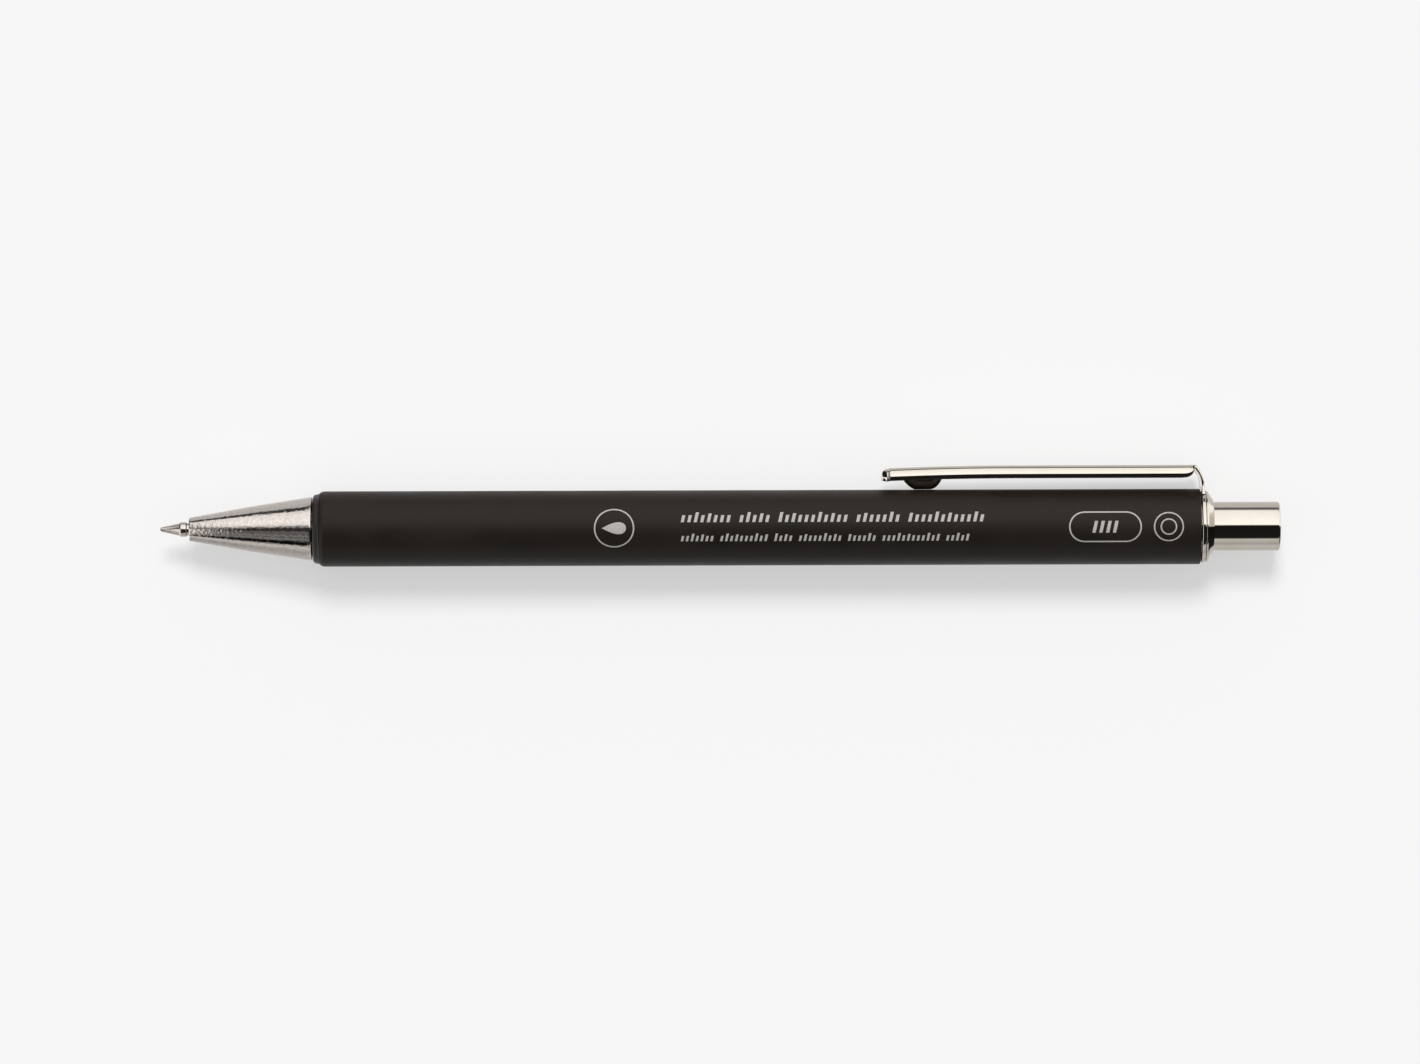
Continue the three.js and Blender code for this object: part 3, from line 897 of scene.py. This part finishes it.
def assemble():
    made = (
        (sleeve(), "barrel", RUBBER, "sleeve_rubber", "grip_sleeve"),
        (lip(), "barrel", BLACK_PLASTIC, "barrel_plastic", "front_collar"),
        (end_cap(), "barrel", PLATING, "bright_plating", "end_cap"),
        (washer(), "barrel", PLATING, "bright_plating", "clip_ring"),
        (cone(), "nose", CONE_PLATING, "cone_plating", "nose_cone"),
        (button_shell(), "button", PLATING, "bright_plating", "button"),
        (point(), "refill", NICKEL_SILVER, "nickel_silver", "point_body"),
        (ball(), "refill", HARD_BALL, "hard_ball", "writing_ball"),
    )
    for piece, body, look, slot, node in made:
        dress(piece, look)
        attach(piece, body)
        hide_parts(node)

    strip = dress(clip(), PLATING)
    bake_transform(strip)
    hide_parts("clip_arm")

    coil = dress(spring(), SPRING_STEEL)
    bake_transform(coil)
    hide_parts("return_spring")

    for mark in (printed_lines(), printed_drop(), printed_capsule(), printed_ring()):
        dress(mark, PRINT)
        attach(mark, "barrel")

    for node, look in {
        "barrel_tube": BLACK_PLASTIC,
        "cam_guide": WHITE_PLASTIC,
        "rotor": WHITE_PLASTIC,
        "plunger": WHITE_PLASTIC,
        "tip_holder": WHITE_PLASTIC,
        "ink_tube": CLEAR_PLASTIC,
        "ink_column": BLACK_INK,
        "ink_follower": GREASE,
        "follower_float": WHITE_PLASTIC,
        "tube_plug": WHITE_PLASTIC,
    }.items():
        dress_node(node, look)


assemble()

# ---------------------------------------------------------------------------------------------------
# Studio: a pale light table, two soft lights from the clip's side, and a room that mirrors see

FLOOR_HALF = 3.0
FLOOR_GLOW = 0.5
FLOOR_ALBEDO = 0.36
TABLE_WHITE = 0.92
ROOM_BRIGHTEST = 2.2


def light_table():
    bm = bmesh.new()
    corners = ((-1, -1), (1, -1), (1, 1), (-1, 1))
    bm.faces.new([bm.verts.new((x * FLOOR_HALF, y * FLOOR_HALF, -0.00002)) for x, y in corners])
    mesh = bpy.data.meshes.new("light_table")
    bm.to_mesh(mesh)
    bm.free()
    table = add_object("light_table", mesh)
    look, _, _, shader = material("pale_table", (FLOOR_ALBEDO,) * 3, 1.0, Specular_IOR_Level=0.0)
    shader.inputs["Emission Color"].default_value = (1, 1, 1, 1)
    shader.inputs["Emission Strength"].default_value = FLOOR_GLOW
    mesh.materials.append(look)
    table.visible_glossy = False


def soft_sun(name, strength, from_vertical, spread_angle):
    """Wide light from the clip's side that mirrors do not show: they reflect the room instead."""
    data = bpy.data.lights.new(name, "SUN")
    data.energy = strength
    data.angle = radians(spread_angle)
    sun = add_object(name, data)
    sun.rotation_euler = (-radians(from_vertical), 0, 0)
    sun.visible_glossy = False


def grey(value):
    """Colour of a brightness, as a share of the room's brightest."""
    return (value / ROOM_BRIGHTEST,) * 3


def brightness_ramp(nodes, links, turn, stops):
    """Brightness of the room by the angle from straight up, positive towards the clip's side."""
    ramp = nodes.new("ShaderNodeValToRGB")
    links.new(turn, ramp.inputs["Fac"])
    elements = ramp.color_ramp.elements
    while len(elements) < len(stops):
        elements.new(0.5)
    for element, (where, value) in zip(elements, stops):
        element.position = (where + 180) / 360
        element.color = (*grey(value), 1)
    return ramp.outputs["Color"]


def room():
    """What the bright pieces reflect: a broad light on the clip's side, a dark side and a table."""
    world = bpy.data.worlds.new("room")
    bpy.context.scene.world = world
    world.use_nodes = True
    world.cycles_visibility.diffuse = False
    nodes, links = world.node_tree.nodes, world.node_tree.links
    background = nodes["Background"]
    source = nodes.new("ShaderNodeTexCoord")
    split = nodes.new("ShaderNodeSeparateXYZ")
    angle = nodes.new("ShaderNodeMath")
    angle.operation = "ARCTAN2"
    links.new(source.outputs["Generated"], split.inputs["Vector"])
    links.new(split.outputs["Y"], angle.inputs[0])
    links.new(split.outputs["Z"], angle.inputs[1])
    turn = spread(nodes, links, angle.outputs["Value"], 0, 1, -pi, pi)
    overhead = (
        (-180, 0.86),
        (-128, 0.78),
        (-108, 0.94),
        (-88, 0.66),
        (-78, 0.8),
        (-66, 0.94),
        (-61.5, 0.8),
        (-57, 0.02),
        (4, 0.015),
        (8.5, 2.1),
        (40, 1.9),
        (76, 1.7),
        (83, 1.3),
        (86, 0.2),
        (98, 0.2),
        (102, 0.9),
        (180, 0.86),
    )
    towards_tip = (
        (-180, 0.88),
        (-128, 0.7),
        (-100, 0.55),
        (-77, 1.0),
        (-70, 0.85),
        (-65, 0.0),
        (-53, 0.0),
        (-49, 0.12),
        (-42, 0.42),
        (-35, 0.12),
        (-28, 0.4),
        (-21, 0.1),
        (-14, 0.28),
        (-8, 0.05),
        (5, 0.05),
        (17, 1.45),
        (30, 1.75),
        (60, 1.55),
        (73, 1.4),
        (76, 0.04),
        (90, 0.06),
        (93, 0.86),
        (140, 0.92),
        (180, 0.88),
    )
    lengthwise, across = split.outputs["X"], split.outputs["Y"]
    sides = tinted(
        nodes,
        links,
        spread(nodes, links, lengthwise, 0, 1, -0.1, -0.26),
        brightness_ramp(nodes, links, turn, overhead),
        brightness_ramp(nodes, links, turn, towards_tip),
    )

    def wall(before, begins, full, left, right, near, far):
        """Lay an end wall over the room: it goes from one brightness to another across the pen."""
        share = spread(nodes, links, across, 0, 1, left, right)
        face = tinted(nodes, links, share, grey(near), grey(far))
        amount = spread(nodes, links, lengthwise, 0, 1, begins, full)
        return tinted(nodes, links, amount, before, face)

    rear_wall = wall(sides, 0.64, 0.7, -0.02, 0.02, 0.02, 1.7)
    front_wall = wall(rear_wall, -0.46, -0.54, 0.05, 0.12, 1.7, 0.02)
    seen = nodes.new("ShaderNodeLightPath").outputs["Is Camera Ray"]
    pale = tinted(nodes, links, seen, front_wall, grey(TABLE_WHITE))
    links.new(pale, background.inputs["Color"])
    background.inputs["Strength"].default_value = ROOM_BRIGHTEST


def camera():
    """Straight down from a metre above the axis, with a long lens and the clip's side up."""
    data = bpy.data.cameras.new("camera")
    data.sensor_width = 36
    data.lens = 200
    view_width = 180.0
    height = view_width * data.lens / data.sensor_width * MM
    eye = add_object("camera", data)
    eye.location = place(69.7, -0.52, 0) + Vector((0, 0, height))
    eye.rotation_euler = (0, 0, radians(-0.168))
    bpy.context.scene.camera = eye


light_table()
soft_sun("key_light", strength=2.65, from_vertical=35, spread_angle=20)
soft_sun("fill_light", strength=1.65, from_vertical=15, spread_angle=140)
room()
camera()
bpy.context.scene.view_settings.view_transform = "Standard"
